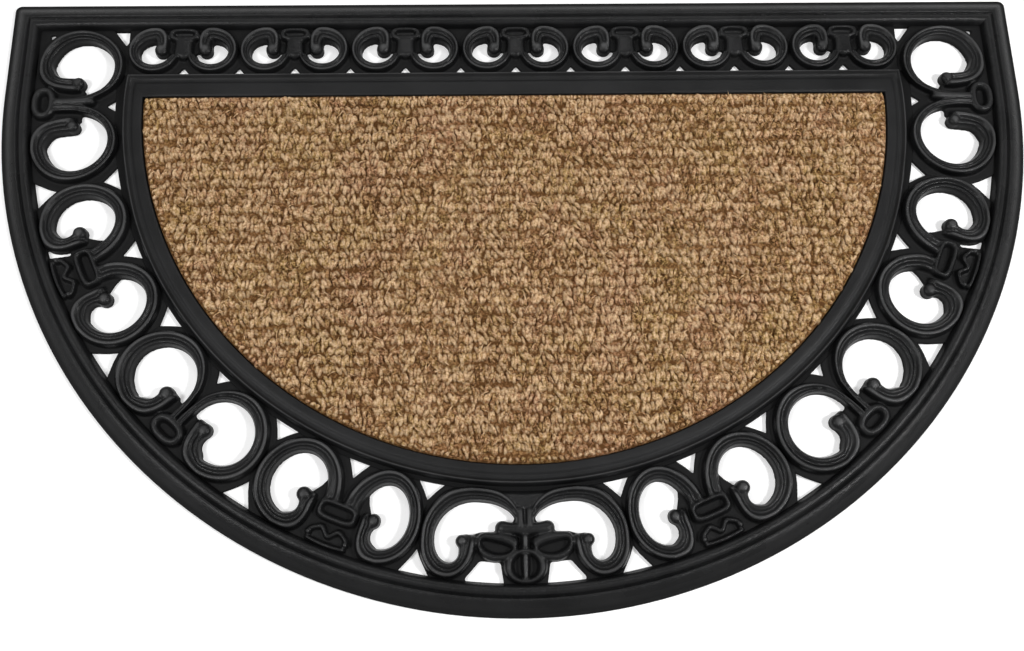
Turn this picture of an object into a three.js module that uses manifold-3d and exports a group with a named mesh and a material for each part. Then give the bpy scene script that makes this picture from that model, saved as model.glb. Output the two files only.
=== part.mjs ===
// Half round coir doormat. One moulded rubber mat, with a rim, an openwork border of C-scrolls and a tray, and one
// woven coir panel that lies in the tray. Millimetres, +Z up, +Y towards the straight edge that faces the door.
// The moulding is divided where its open scrolls begin, GAP apart, so that each pair of scrolls is its own solid.
import * as THREE from "three";
import { mergeVertices } from "three/addons/utils/BufferGeometryUtils.js";
import Module from "manifold-3d";

const wasm = await Module();
wasm.setup();

// ---------------------------------------------------------------- driving dimensions
const WIDTH = 762;                      // 30 in, the straight edge
const DEPTH = 457.2;                    // 18 in
const RADIUS = WIDTH / 2;               // the curved edge is half a circle
const SIDE = DEPTH - RADIUS;            // straight sides above that half circle
const GAP = 0.3;                        // between neighbouring solids
const ARC_STEPS = 48;                   // facets along half a circle

const rim = { width: 21.5, lip: 2.5, top: 7.5, bevel: 9.5, beadWidth: 8, beadTop: 9.5, beadBevel: 3, corner: 5 };
const tray = { radius: 298.2, straightY: 15.7, floor: 2.5, band: 7.5, beadWidth: 7, beadTop: 9 };
const coir = { radius: 277, centreY: -4, thickness: 8, corner: 6 };
const border = { height: 8, raised: 9 };

// The curved border lies between the tray and the rim. Its scroll pairs stand PITCH apart round the circle's centre,
// and their sizes are u, along the border at the radius MID, and v, the distance from that centre.
const PITCH = THREE.MathUtils.degToRad(22);
const MID = 326;
const curved = { inner: tray.radius + GAP, outer: RADIUS - rim.width - GAP, half: (MID * PITCH) / 2 };

// The palmette pair is wider than the rest, and the pair on each side of it is narrower towards it. KEPT_HALF is the
// middle of such a pair, which keeps its size.
const wide = { ...curved, half: 68.8 };
const NEAR_HALF = 2 * curved.half - wide.half;
const KEPT_HALF = 14;

// A corner pair leans a little towards the straight edge. Its upper scroll and its collar stand off the pair's lines.
const corner = { lean: THREE.MathUtils.degToRad(0.3), upperDrop: 2, collarShift: 2 };

// The straight border along the door side has smaller pairs, with u along X and v along Y.
const SMALL_PAIRS = 7;
const SMALL_PITCH = 83.3;
const straight = { inner: tray.straightY + GAP, outer: SIDE - rim.width - GAP, half: SMALL_PITCH / 2 };
const BORDER_END = (SMALL_PAIRS * SMALL_PITCH) / 2;

// One kind of pair a row. hole is the round opening of each scroll, tip the ball its end curls to, and neck the
// scroll's width above that ball, from u = 0. foot is the notch between the two scrolls at the tray, ends the
// notches where two pairs touch, at the tray and at the rim.
const kinds = {
  oval: {
    hole: { u: 28.3, v: 327.6, a: 22.8, b: 21.9 },
    tip: { u: 16.5, v: 334, r: 6.8 },
    neck: 22,
    foot: { half: 6, rise: 8 },
    ends: { half: 10, trayRise: 13, rimDrop: 18 },
  },
  corner: {
    hole: { u: 29.8, v: 325.8, a: 22.7, b: 22.5 },
    tip: { u: 16.5, v: 327.5, r: 6.8 },
    neck: 22,
    foot: { half: 5, rise: 7 },
    ends: { half: 10, trayRise: 13, rimDrop: 18 },
  },
  leaf: {
    hole: { u: 32.7, v: 327.8, a: 18.9, b: 21.3 },
    tip: { u: 24.7, v: 331, r: 6.8 },
    neck: 28,
    foot: { half: 8.5, rise: 12.5 },
    ends: { half: 10, trayRise: 13, rimDrop: 18 },
  },
  palmette: {
    hole: { u: 33, v: 328, a: 26, b: 21 },
    tip: { u: 36.5, v: 336, r: 6.8 },
    neck: 41,
    foot: null,
    ends: { half: 10, trayRise: 13, rimDrop: 18 },
  },
  small: {
    hole: { u: 21.3, v: 35, a: 11.5, b: 9.3 },
    tip: { u: 15.6, v: 36.5, r: 6 },
    neck: 21,
    foot: { half: 6.2, rise: 7 },
    ends: { half: 6.2, trayRise: 7, rimDrop: 0 },
  },
};

// Pairs from the middle of the curve to the corner, on each side.
const curvedPairs = [
  { name: "scroll_pair_1", kind: "leaf", steps: 1, slitted: false },
  { name: "scroll_pair_2", kind: "oval", steps: 2, slitted: false },
  { name: "scroll_pair_3", kind: "leaf", steps: 3, slitted: true },
];

// ---------------------------------------------------------------- materials
const rubber = () => new THREE.MeshStandardMaterial({ color: 0x262627, roughness: 0.55, metalness: 0 });
const coirFibre = () => new THREE.MeshStandardMaterial({ color: 0xc49a62, roughness: 0.95, metalness: 0 });

// ---------------------------------------------------------------- solids and booleans
function toSolid(geometry) {
  const bare = geometry.clone();
  bare.deleteAttribute("normal");
  bare.deleteAttribute("uv");
  const merged = mergeVertices(bare, 1e-4);
  const vertProperties = new Float32Array(merged.attributes.position.array);
  const triVerts = new Uint32Array(merged.index.array);
  return new wasm.Manifold(new wasm.Mesh({ numProp: 3, vertProperties, triVerts }));
}

function toGeometry(solid) {
  const mesh = solid.getMesh();
  const geometry = new THREE.BufferGeometry();
  geometry.setAttribute("position", new THREE.BufferAttribute(new Float32Array(mesh.vertProperties), 3));
  geometry.setIndex(new THREE.BufferAttribute(new Uint32Array(mesh.triVerts), 1));
  geometry.computeVertexNormals();
  return geometry;
}

const joined = (solids) => solids.reduce((sum, solid) => sum.add(solid));
const cut = (solid, cutters) => cutters.reduce((rest, cutter) => rest.subtract(cutter), solid);

// A flat plate of the given outline between two heights.
function plate(outline, bottom, top) {
  const shape = outline instanceof THREE.Shape ? outline : new THREE.Shape(outline);
  const geometry = new THREE.ExtrudeGeometry(shape, { depth: top - bottom, bevelEnabled: false, curveSegments: ARC_STEPS });
  return toSolid(geometry.translate(0, 0, bottom));
}

// A cutter that passes right through the mat.
const through = (outline) => plate(outline, -5, 20);

// ---------------------------------------------------------------- outlines
// A half disc round the circle's centre, closed by a straight edge at y = top, with rounded upper corners.
function halfDisc(radius, top, corner = 0) {
  const start = top < 0 ? Math.asin(top / radius) : 0;
  const points = [];
  for (let i = 0; i <= ARC_STEPS; i += 1) {
    const angle = THREE.MathUtils.lerp(Math.PI - start, 2 * Math.PI + start, i / ARC_STEPS);
    points.push(new THREE.Vector2(radius * Math.cos(angle), radius * Math.sin(angle)));
  }
  const side = points.at(-1).x;
  if (corner > 0) {
    const low = top - corner;
    const keep = points.filter((p) => p.y < low - 1);
    const arm = Math.min(side, Math.sqrt(radius ** 2 - Math.min(low, 0) ** 2));
    for (let i = 0; i <= 4; i += 1) {
      const angle = (i / 4) * (Math.PI / 2);
      keep.push(new THREE.Vector2(arm - corner + corner * Math.cos(angle), low + corner * Math.sin(angle)));
    }
    for (let i = 0; i <= 4; i += 1) {
      const angle = Math.PI / 2 + (i / 4) * (Math.PI / 2);
      keep.push(new THREE.Vector2(corner - arm + corner * Math.cos(angle), low + corner * Math.sin(angle)));
    }
    return keep;
  }
  if (top > 0) {
    points.push(new THREE.Vector2(side, top), new THREE.Vector2(-side, top));
  }
  return points;
}

const moved = (points, y) => points.map((p) => new THREE.Vector2(p.x, p.y + y));

const ellipse = ({ u, v, a, b = a }, place, steps) =>
  Array.from({ length: steps }, (_, i) => {
    const angle = (i / steps) * 2 * Math.PI;
    return place(u + a * Math.cos(angle), v + b * Math.sin(angle));
  });

const outlineOf = (rows, place) => rows.map(([u, v]) => place(u, v));

// Where u and v lie on the mat: along the straight border, or round the curve after a turn from its middle.
const onStraight = (u, v) => new THREE.Vector2(u, v);
const onCurve = (turn) => (u, v) => new THREE.Vector2(v * Math.sin(turn + u / MID), -v * Math.cos(turn + u / MID));
const mirrored = (place, side) => (u, v) => place(side * u, v);
const shifted = (place, du, dv) => (u, v) => place(u + du, v + dv);

// The same place with one side of the pair drawn in, beyond its middle.
function narrowed(place, side) {
  const scale = (NEAR_HALF - KEPT_HALF) / (curved.half - KEPT_HALF);
  return (u, v) => place(side * u > KEPT_HALF ? side * (KEPT_HALF + (side * u - KEPT_HALF) * scale) : u, v);
}

// ---------------------------------------------------------------- rim, tray and coir
// A band between two half-disc outlines. Both of its upper edges are bevelled, by as much as each is high.
function bevelledBand(outer, inner, base, top, bevel) {
  const shape = new THREE.Shape(outer);
  shape.holes.push(new THREE.Path(inner));
  const rise = top - base;
  const geometry = new THREE.ExtrudeGeometry(shape, {
    depth: base + rise,
    bevelEnabled: true,
    bevelThickness: rise,
    bevelSize: bevel,
    bevelOffset: -bevel,
    bevelSegments: 1,
  });
  const block = new THREE.BoxGeometry(2 * WIDTH, 2 * WIDTH, 100).translate(0, 0, 50);
  return toSolid(geometry.translate(0, 0, -rise)).intersect(toSolid(block));
}

function outerRim() {
  const outer = halfDisc(RADIUS, SIDE);
  const inner = halfDisc(RADIUS - rim.width, SIDE - rim.width);
  const beadFrom = rim.width - rim.beadWidth;
  const beadOuter = halfDisc(RADIUS - beadFrom, SIDE - beadFrom);
  const body = bevelledBand(outer, inner, rim.lip, rim.top, rim.bevel);
  const bead = bevelledBand(beadOuter, inner, rim.beadTop - 4, rim.beadTop, rim.beadBevel);
  const rounded = plate(halfDisc(RADIUS, SIDE, rim.corner), 0, rim.beadTop + 1);
  return joined([body, bead]).intersect(rounded);
}

function panelTray() {
  const outer = halfDisc(tray.radius, tray.straightY);
  const inner = moved(halfDisc(coir.radius + GAP, GAP), coir.centreY);
  const beadInner = halfDisc(tray.radius - tray.beadWidth, tray.straightY - tray.beadWidth);
  const floor = plate(outer, 0, tray.floor);
  const band = bevelledBand(outer, inner, tray.band - 1.5, tray.band, 1.5);
  const bead = bevelledBand(outer, beadInner, tray.beadTop - 3, tray.beadTop, 2.5);
  return joined([floor, band, bead]);
}

function coirPanel() {
  const outline = moved(halfDisc(coir.radius, 0, coir.corner), coir.centreY);
  const bottom = tray.floor + GAP;
  return plate(outline, bottom, bottom + coir.thickness);
}

// ---------------------------------------------------------------- scroll pairs
// The opening of one scroll: its round hole, less the ball and the neck that curl into it.
function scrollHole(kind, place) {
  const { hole, tip, neck } = kinds[kind];
  const opening = through(ellipse(hole, place, 28));
  const ball = through(ellipse({ u: tip.u, v: tip.v, a: tip.r }, place, 16));
  const rows = [
    [-2, tip.v],
    [neck, tip.v],
    [neck, tip.v + 0.5 * hole.b],
    [neck + 3, hole.v + hole.b + 2],
    [-2, hole.v + hole.b + 2],
  ];
  return cut(opening, [ball, through(outlineOf(rows, place))]);
}

// Notches of a pair: one at its foot and half of one at each end, at the tray and at the rim.
function notches(kind, strip, place) {
  const { foot, ends } = kinds[kind];
  const low = strip.inner - 1;
  const high = strip.outer + 1;
  const half = strip.half;
  const outlines = [];
  if (foot) {
    outlines.push([[-foot.half, low], [foot.half, low], [0, strip.inner + foot.rise]]);
  }
  for (const side of [-1, 1]) {
    const rows = [[side * (half - ends.half), low], [side * (half + 2), low], [side * (half + 2), strip.inner + ends.trayRise]];
    outlines.push([...rows, [side * half, strip.inner + ends.trayRise]]);
    if (ends.rimDrop > 0) {
      const edge = [[side * (half - ends.half), high], [side * (half + 2), high], [side * (half + 2), strip.outer - ends.rimDrop]];
      outlines.push([...edge, [side * half, strip.outer - ends.rimDrop]]);
    }
  }
  return outlines.map((rows) => through(outlineOf(rows, place)));
}

// The oval collar with a sunk slot, where a stem ends at the rim.
function ovalCollar(strip, place) {
  const v = strip.outer - 9.8;
  const body = plate(ellipse({ u: 0, v, a: 12.2, b: 9.5 }, place, 20), 0, border.raised);
  const slot = plate(ellipse({ u: 0, v, a: 7.5, b: 3 }, place, 12), border.raised - 4, 20);
  return body.subtract(slot);
}

// The straight collar with a sunk slot, and the leaf with three lobes between it and the rim.
function leafCollar(strip, place) {
  const bar = [[-13.5, 330], [-11.5, 328], [11.5, 328], [13.5, 330], [13.5, 340], [11.5, 342], [-11.5, 342], [-13.5, 340]];
  const slot = [[-11, 331.5], [11, 331.5], [11, 337], [-11, 337]];
  const top = strip.outer - 0.2;
  const leaf = [[-16, top], [-15, 349], [-9, 345], [-5, 347], [0, 344.5], [5, 347], [9, 345], [15, 349], [16, top]];
  const collar = plate(outlineOf(bar, place), 0, border.raised);
  const raised = plate(outlineOf(leaf, place), 0, border.raised);
  return joined([collar.subtract(plate(outlineOf(slot, place), border.raised - 4, 20)), raised]);
}

// The palmette in the middle of the curve: a cross bar, two wings and a drop with a rib between two hollows.
function palmette(strip, place) {
  const bar = plate(outlineOf([[-18.5, 320], [18.5, 320], [18.5, 327.5], [-18.5, 327.5]], place), 0, border.raised);
  const parts = [bar];
  for (const side of [-1, 1]) {
    const wing = [[-2, 327], [30, 326.5], [32, 333], [29, 344], [14, 344.5], [-2, 334]];
    const hollow = ellipse({ u: 20, v: 334, a: 7, b: 3 }, mirrored(place, side), 12);
    const body = plate(outlineOf(wing, mirrored(place, side)), 0, border.raised);
    parts.push(body.subtract(plate(hollow, border.raised - 4, 20)));
  }
  const drop = plate(ellipse({ u: 0, v: 348, a: 11.5, b: 10.5 }, place, 18), 0, border.raised);
  const hollows = [-5, 5].map((u) => plate(ellipse({ u, v: 348, a: 2.5, b: 6 }, place, 12), border.raised - 4, 20));
  return joined([...parts, cut(drop, hollows)]);
}

// The small T-shaped cap with a sunk line, where a stem of the straight border ends.
function smallCap(strip, place) {
  const v = strip.outer - 8;
  const cap = plate(outlineOf([[-10.5, v - 3.5], [10.5, v - 3.5], [10.5, v + 3.5], [-10.5, v + 3.5]], place), 0, border.raised);
  const line = plate(outlineOf([[-8, v - 1], [8, v - 1], [8, v + 1], [-8, v + 1]], place), border.raised - 2, 20);
  return cap.subtract(line);
}

const ornaments = { oval: ovalCollar, corner: ovalCollar, leaf: leafCollar, palmette, small: smallCap };

// The plain strip that a pair is cut from, GAP / 2 short of the pair's ends.
function stripPlate(strip, place) {
  const end = strip.half - GAP / 2;
  const steps = place === onStraight ? 1 : 8;
  const rows = [];
  for (let i = 0; i <= steps; i += 1) {
    rows.push([THREE.MathUtils.lerp(-end, end, i / steps), strip.inner]);
  }
  for (let i = 0; i <= steps; i += 1) {
    rows.push([THREE.MathUtils.lerp(end, -end, i / steps), strip.outer]);
  }
  return plate(outlineOf(rows, place), 0, border.height);
}

function scrollPair(kind, strip, place, blank = stripPlate(strip, place), extraCuts = []) {
  const holes = [-1, 1].map((side) => scrollHole(kind, mirrored(place, side)));
  const open = cut(blank, [...holes, ...notches(kind, strip, place), ...extraCuts]);
  return open.add(ornaments[kind](strip, place));
}

// A slanted slit beside a leaf, on the side of the pair that faces the corner.
function slit(place, side) {
  const rows = [[24, 358], [18.5, 358], [14.5, 343.5], [17.5, 343.5]];
  return through(outlineOf(rows, mirrored(place, side)));
}

// Gaps between the palmette's drop, its wings and the rim.
const dropGaps = (strip, place) =>
  [-1, 1].map((side) => {
    const rows = [[12.5, strip.outer + 1], [15, 345.5], [29, 345], [36.5, strip.outer + 1]];
    return through(outlineOf(rows, mirrored(place, side)));
  });

// ---------------------------------------------------------------- corner pairs
// The last pair on each side fills the corner, up to the end of the straight border.
function cornerPair(side) {
  const turn = 4 * PITCH + corner.lean;
  const strip = { ...curved, half: curved.half + MID * corner.lean };
  const place = (u, v) => {
    const p = onCurve(turn)(u, v);
    return new THREE.Vector2(side * p.x, p.y);
  };
  const lower = -(strip.half - GAP / 2);
  const level = MID * (Math.PI / 2 - turn);
  const outline = [];
  for (let i = 0; i <= 5; i += 1) {
    outline.push(place(THREE.MathUtils.lerp(lower, level, i / 5), curved.inner));
  }
  const right = BORDER_END + GAP / 2;
  outline.push(new THREE.Vector2(side * curved.inner, straight.inner));
  outline.push(new THREE.Vector2(side * right, straight.inner));
  outline.push(new THREE.Vector2(side * right, straight.outer));
  outline.push(new THREE.Vector2(side * curved.outer, straight.outer));
  for (let i = 0; i <= 5; i += 1) {
    outline.push(place(THREE.MathUtils.lerp(level, lower, i / 5), curved.outer));
  }
  const flat = (rows) => through(rows.map(([x, y]) => new THREE.Vector2(side * x, y)));
  const gaps = [
    flat([[right - 2, straight.outer + 1], [right - 2, 38.5], [right + 1, 38.5], [302.5, straight.outer + 1]]),
    flat([[352.5, 51], [344.5, 51], [351, 44.5]]),
  ];
  const blank = plate(outline, 0, border.height);
  const ends = notches("corner", strip, place).slice(0, 3);
  const holes = [mirrored(place, -1), shifted(place, 0, -corner.upperDrop)].map((at) => scrollHole("corner", at));
  return cut(blank, [...holes, ...ends, ...gaps]).add(ovalCollar(strip, shifted(place, corner.collarShift, 0)));
}

// ---------------------------------------------------------------- the mat
const mat = new THREE.Group();
mat.position.y = RADIUS - DEPTH / 2;

function addPiece(name, solid, material, turn = 0) {
  const mesh = new THREE.Mesh(toGeometry(solid), material);
  mesh.name = name;
  mesh.rotation.z = turn;
  mat.add(mesh);
  return mesh;
}

addPiece("outer_rim", outerRim(), rubber());
addPiece("panel_tray", panelTray(), rubber());
addPiece("coir_panel", coirPanel(), coirFibre());

const middle = onCurve(0);
addPiece("palmette_pair", scrollPair("palmette", wide, middle, stripPlate(wide, middle), dropGaps(wide, middle)), rubber());
for (const { name, kind, steps, slitted } of curvedPairs) {
  for (const side of [-1, 1]) {
    const place = steps === 1 ? narrowed(middle, -side) : middle;
    const solid = scrollPair(kind, curved, place, stripPlate(curved, place), slitted ? [slit(place, side)] : []);
    addPiece(`${name}_${side < 0 ? "left" : "right"}`, solid, rubber(), side * steps * PITCH);
  }
}
addPiece("corner_pair_left", cornerPair(-1), rubber());
addPiece("corner_pair_right", cornerPair(1), rubber());

const smallPair = scrollPair("small", straight, onStraight);
for (let i = 0; i < SMALL_PAIRS; i += 1) {
  const piece = addPiece(`small_pair_${i + 1}`, smallPair, rubber());
  piece.position.x = (i - (SMALL_PAIRS - 1) / 2) * SMALL_PITCH;
}

const doormat = new THREE.Group();
doormat.add(mat);

export default doormat;
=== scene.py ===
import math
import random

import bmesh
import bpy
from mathutils import Matrix, Vector, noise


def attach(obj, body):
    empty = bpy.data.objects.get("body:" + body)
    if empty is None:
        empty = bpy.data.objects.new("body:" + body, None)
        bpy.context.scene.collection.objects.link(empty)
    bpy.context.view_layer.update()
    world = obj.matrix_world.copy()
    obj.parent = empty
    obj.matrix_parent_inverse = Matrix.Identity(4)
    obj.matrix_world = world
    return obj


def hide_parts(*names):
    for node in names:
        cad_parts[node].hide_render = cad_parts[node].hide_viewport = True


# Half round coir doormat. Shapes are drawn in millimetres round the centre of the curved edge,
# and settle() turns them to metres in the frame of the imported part.
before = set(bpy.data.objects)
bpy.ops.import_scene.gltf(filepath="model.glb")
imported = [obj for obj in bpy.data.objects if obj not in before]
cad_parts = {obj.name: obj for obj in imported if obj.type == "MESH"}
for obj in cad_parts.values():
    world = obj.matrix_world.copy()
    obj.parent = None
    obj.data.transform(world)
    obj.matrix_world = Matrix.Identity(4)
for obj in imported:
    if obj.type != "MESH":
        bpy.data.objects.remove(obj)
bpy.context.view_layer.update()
print("frame loaded:", len(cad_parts), "nodes")

mm = 0.001
# metres from the frame's origin to the centre of the curved edge
circleCentre = 0.1524
# the middle line of the scroll border, and the turn from pair to pair
midRadius = 326.0
pitch = math.radians(22)


def addObject(name, data):
    made = bpy.data.objects.new(name, data)
    bpy.context.scene.collection.objects.link(made)
    return made


# camera

cameraSet = {
    "place": (-0.02134, -0.23512, 0.71487),
    "right": (0.99973, -0.01667, 0.01639),
    "up": (0.01147, 0.96073, 0.27724),
    "lens": 37.05,
}


def addCamera():
    data = bpy.data.cameras.new("viewCamera")
    data.lens = cameraSet["lens"]
    data.sensor_width = 36
    data.clip_start = 0.01
    right = Vector(cameraSet["right"]).normalized()
    up = Vector(cameraSet["up"])
    up = (up - right * up.dot(right)).normalized()
    turn = Matrix((right, up, right.cross(up))).transposed()
    camera = addObject("viewCamera", data)
    camera.matrix_world = Matrix.Translation(cameraSet["place"]) @ turn.to_4x4()
    bpy.context.scene.camera = camera


addCamera()
print("camera placed")


# shader parts shared by the materials

def fill(tree, node, inputs):
    # Sets each input that is given a number or a colour, and links the others.
    for label, value in inputs.items():
        if isinstance(value, (int, float, tuple)):
            node.inputs[label].default_value = value
        else:
            tree.links.new(value, node.inputs[label])


def addNode(tree, kind, inputs=None, **settings):
    node = tree.nodes.new(kind)
    for key, value in settings.items():
        setattr(node, key, value)
    fill(tree, node, inputs or {})
    return node


def addNoise(tree, vector, scale, detail, roughness):
    inputs = {"Vector": vector, "Scale": scale, "Detail": detail, "Roughness": roughness}
    return addNode(tree, "ShaderNodeTexNoise", inputs).outputs["Fac"]


def addMath(tree, operation, *values):
    return addNode(tree, "ShaderNodeMath", dict(enumerate(values)), operation=operation).outputs[0]


def addRange(tree, value, fromLow, fromHigh, toLow=0.0, toHigh=1.0):
    inputs = {"Value": value, "From Min": fromLow, "From Max": fromHigh, "To Min": toLow, "To Max": toHigh}
    return addNode(tree, "ShaderNodeMapRange", inputs).outputs["Result"]


def addMix(tree, factor, first, second):
    # The colour sockets of a mix node are its seventh and eighth.
    node = addNode(tree, "ShaderNodeMix", data_type="RGBA")
    fill(tree, node, {0: factor, 6: first, 7: second})
    return node.outputs[2]


def addHeight(tree, here):
    return addNode(tree, "ShaderNodeSeparateXYZ", {"Vector": here}).outputs["Z"]


def addBump(tree, height, distance):
    return addNode(tree, "ShaderNodeBump", {"Height": height, "Distance": distance}).outputs[0]


def newGroup(name, numbers, results):
    # A node group that takes a place and some numbers with their usual values, and gives numbers.
    group = bpy.data.node_groups.new(name, "ShaderNodeTree")
    group.interface.new_socket(name="Vector", in_out="INPUT", socket_type="NodeSocketVector")
    for label, value in numbers.items():
        socket = group.interface.new_socket(name=label, in_out="INPUT", socket_type="NodeSocketFloat")
        socket.default_value = value
    for label in results:
        group.interface.new_socket(name=label, in_out="OUTPUT", socket_type="NodeSocketFloat")
    return group, group.nodes.new("NodeGroupInput").outputs, group.nodes.new("NodeGroupOutput")


def makeMouldedGrain():
    # Fine pebble of a rubber mould, with the larger unevenness of its surface.
    numbers = {"Fine Scale": 1400.0, "Broad Scale": 90.0, "Broad Share": 0.5}
    group, given, leave = newGroup("mouldedGrain", numbers, ("Height", "Patches"))
    fine = addNoise(group, given["Vector"], given["Fine Scale"], 2.0, 0.6)
    broad = addNoise(group, given["Vector"], given["Broad Scale"], 3.0, 0.5)
    height = addMath(group, "ADD", fine, addMath(group, "MULTIPLY", broad, given["Broad Share"]))
    fill(group, leave, {"Height": height, "Patches": addNoise(group, given["Vector"], 22.0, 4.0, 0.6)})
    return group


def makeEdgeWear():
    # Light scuffs where an edge stands proud, broken up by noise.
    group, given, leave = newGroup("edgeWear", {"Start": 0.53, "Full": 0.62}, ("Mask",))
    point = addNode(group, "ShaderNodeNewGeometry").outputs["Pointiness"]
    wear = addRange(group, point, given["Start"], given["Full"])
    broken = addRange(group, addNoise(group, given["Vector"], 260.0, 4.0, 0.65), 0.38, 0.62)
    fill(group, leave, {"Mask": addMath(group, "MULTIPLY", wear, broken)})
    return group


def makeFibreGrain():
    # Coarse coconut fibres that run along a yarn and twist round it.
    numbers = {"Along": 2.0, "Across": 9.0, "Twist": 1.2}
    group, given, leave = newGroup("fibreGrain", numbers, ("Height", "Streaks"))
    split = addNode(group, "ShaderNodeSeparateXYZ", {"Vector": given["Vector"]}).outputs
    turned = addMath(group, "MULTIPLY_ADD", split["Y"], given["Twist"], split["X"])
    across = addMath(group, "MULTIPLY", turned, given["Across"])
    along = addMath(group, "MULTIPLY", split["Y"], given["Along"])
    joined = addNode(group, "ShaderNodeCombineXYZ", {"X": across, "Y": along, "Z": split["Z"]}).outputs[0]
    strands = addNoise(group, joined, 1.0, 3.0, 0.6)
    finer = addNoise(group, joined, 2.7, 2.0, 0.6)
    fill(group, leave, {"Height": addMath(group, "MULTIPLY_ADD", finer, 0.5, strands), "Streaks": strands})
    return group


mouldedGrain = makeMouldedGrain()
edgeWear = makeEdgeWear()
fibreGrain = makeFibreGrain()


def startMaterial(name):
    material = bpy.data.materials.new(name)
    material.use_nodes = True
    tree = material.node_tree
    tree.nodes.clear()
    shader = addNode(tree, "ShaderNodeBsdfPrincipled")
    addNode(tree, "ShaderNodeOutputMaterial", {"Surface": shader.outputs[0]})
    return material, tree, shader


# materials

rubberSet = {
    "dark": (0.0048, 0.0049, 0.0051, 1),
    "light": (0.0105, 0.0106, 0.0110, 1),
    "scuff": (0.034, 0.034, 0.035, 1),
    # painted highlight on the crests: its colour, and the heights in metres where it begins and is full
    "crestHighlight": (0.092, 0.092, 0.093, 1),
    "crestHighlightLevels": (0.0089, 0.0097),
    # painted shade in the recesses: its colour, the heights in metres where it is full and where it ends, and
    # how much it dulls the roughness
    "recessShade": (0.0009, 0.0009, 0.0010, 1),
    "recessLevels": (0.0022, 0.0062),
    "recessDullness": 0.55,
    "specular": 0.16,
    "grainDepth": 0.00022,
    # lowest and highest roughness, and the share of the broad unevenness in the grain
    "moulded": ((0.22, 0.34), 1.5),
    "smooth": ((0.36, 0.48), 0.6),
}


def makeRubber(kind):
    roughness, broadShare = rubberSet[kind]
    material, tree, shader = startMaterial(kind + "Rubber")
    here = addNode(tree, "ShaderNodeTexCoord").outputs["Object"]
    inputs = {"Vector": here, "Broad Share": broadShare}
    grain = addNode(tree, "ShaderNodeGroup", inputs, node_tree=mouldedGrain).outputs
    wear = addNode(tree, "ShaderNodeGroup", {"Vector": here}, node_tree=edgeWear).outputs["Mask"]
    blotch = addRange(tree, grain["Patches"], 0.35, 0.65)
    colour = addMix(tree, blotch, rubberSet["dark"], rubberSet["light"])
    colour = addMix(tree, wear, colour, rubberSet["scuff"])
    height = addHeight(tree, here)
    # painted highlight: rubber high on the crests is lightened whichever way it faces, broken up by the patches
    crestHighlight = addRange(tree, height, *rubberSet["crestHighlightLevels"])
    crestHighlight = addMath(tree, "MULTIPLY", crestHighlight, addRange(tree, grain["Patches"], 0.3, 0.6, 0.4, 1.0))
    colour = addMix(tree, crestHighlight, colour, rubberSet["crestHighlight"])
    # painted shade: the rubber darkens to near black below the recess levels, which also raise its roughness
    recessShade = addRange(tree, height, *rubberSet["recessLevels"], 1.0, 0.0)
    sheen = addRange(tree, grain["Patches"], 0.3, 0.7, *roughness)
    fill(tree, shader, {
        "Base Color": addMix(tree, recessShade, colour, rubberSet["recessShade"]),
        "Roughness": addMath(tree, "MULTIPLY_ADD", recessShade, rubberSet["recessDullness"], sheen),
        "Specular IOR Level": rubberSet["specular"],
        "Normal": addBump(tree, grain["Height"], rubberSet["grainDepth"]),
    })
    return material


coirSet = {
    "deep": (0.082, 0.032, 0.005, 1),
    "mid": (0.48, 0.256, 0.098, 1),
    "pale": (0.93, 0.66, 0.40, 1),
    "yellow": (0.54, 0.340, 0.108, 1),
    "pink": (0.58, 0.288, 0.158, 1),
    # patches, then single strands: a tint, what its noise lies on, the noise's scale, detail and roughness, and
    # two levels of the noise with the tint's share at each
    "tints": (
        ("yellow", "Object", (15.0, 3.0, 0.6), (0.44, 0.60, 0.0, 0.75)),
        ("pink", "Object", (21.0, 3.0, 0.6), (0.50, 0.64, 0.0, 0.7)),
        ("yellow", "UV", (0.7, 1.0, 0.5), (0.52, 0.64, 0.0, 0.6)),
        ("pink", "UV", (0.7, 1.0, 0.5), (0.36, 0.47, 0.6, 0.0)),
    ),
    # the parts of the lightness, and its levels between the deep tone, the middle and the pale one
    "toneShare": 0.66,
    "streakShare": 0.30,
    "raggedNoise": (520.0, 3.0, 0.7),
    "raggedShare": (-0.36, 0.34),
    "noiseLevels": (0.36, 0.64),
    "middleLevels": (0.06, 0.38),
    "paleLevels": (0.42, 0.88),
    # heights in metres between which the yarn is darkened as painted shade, and by how much at the lower one
    "paintedShadeLevels": (0.0058, 0.0086),
    "paintedShadeShare": 0.72,
    "roughness": 0.85,
    "specular": 0.25,
    "fibreDepth": 0.0011,
}


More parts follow.
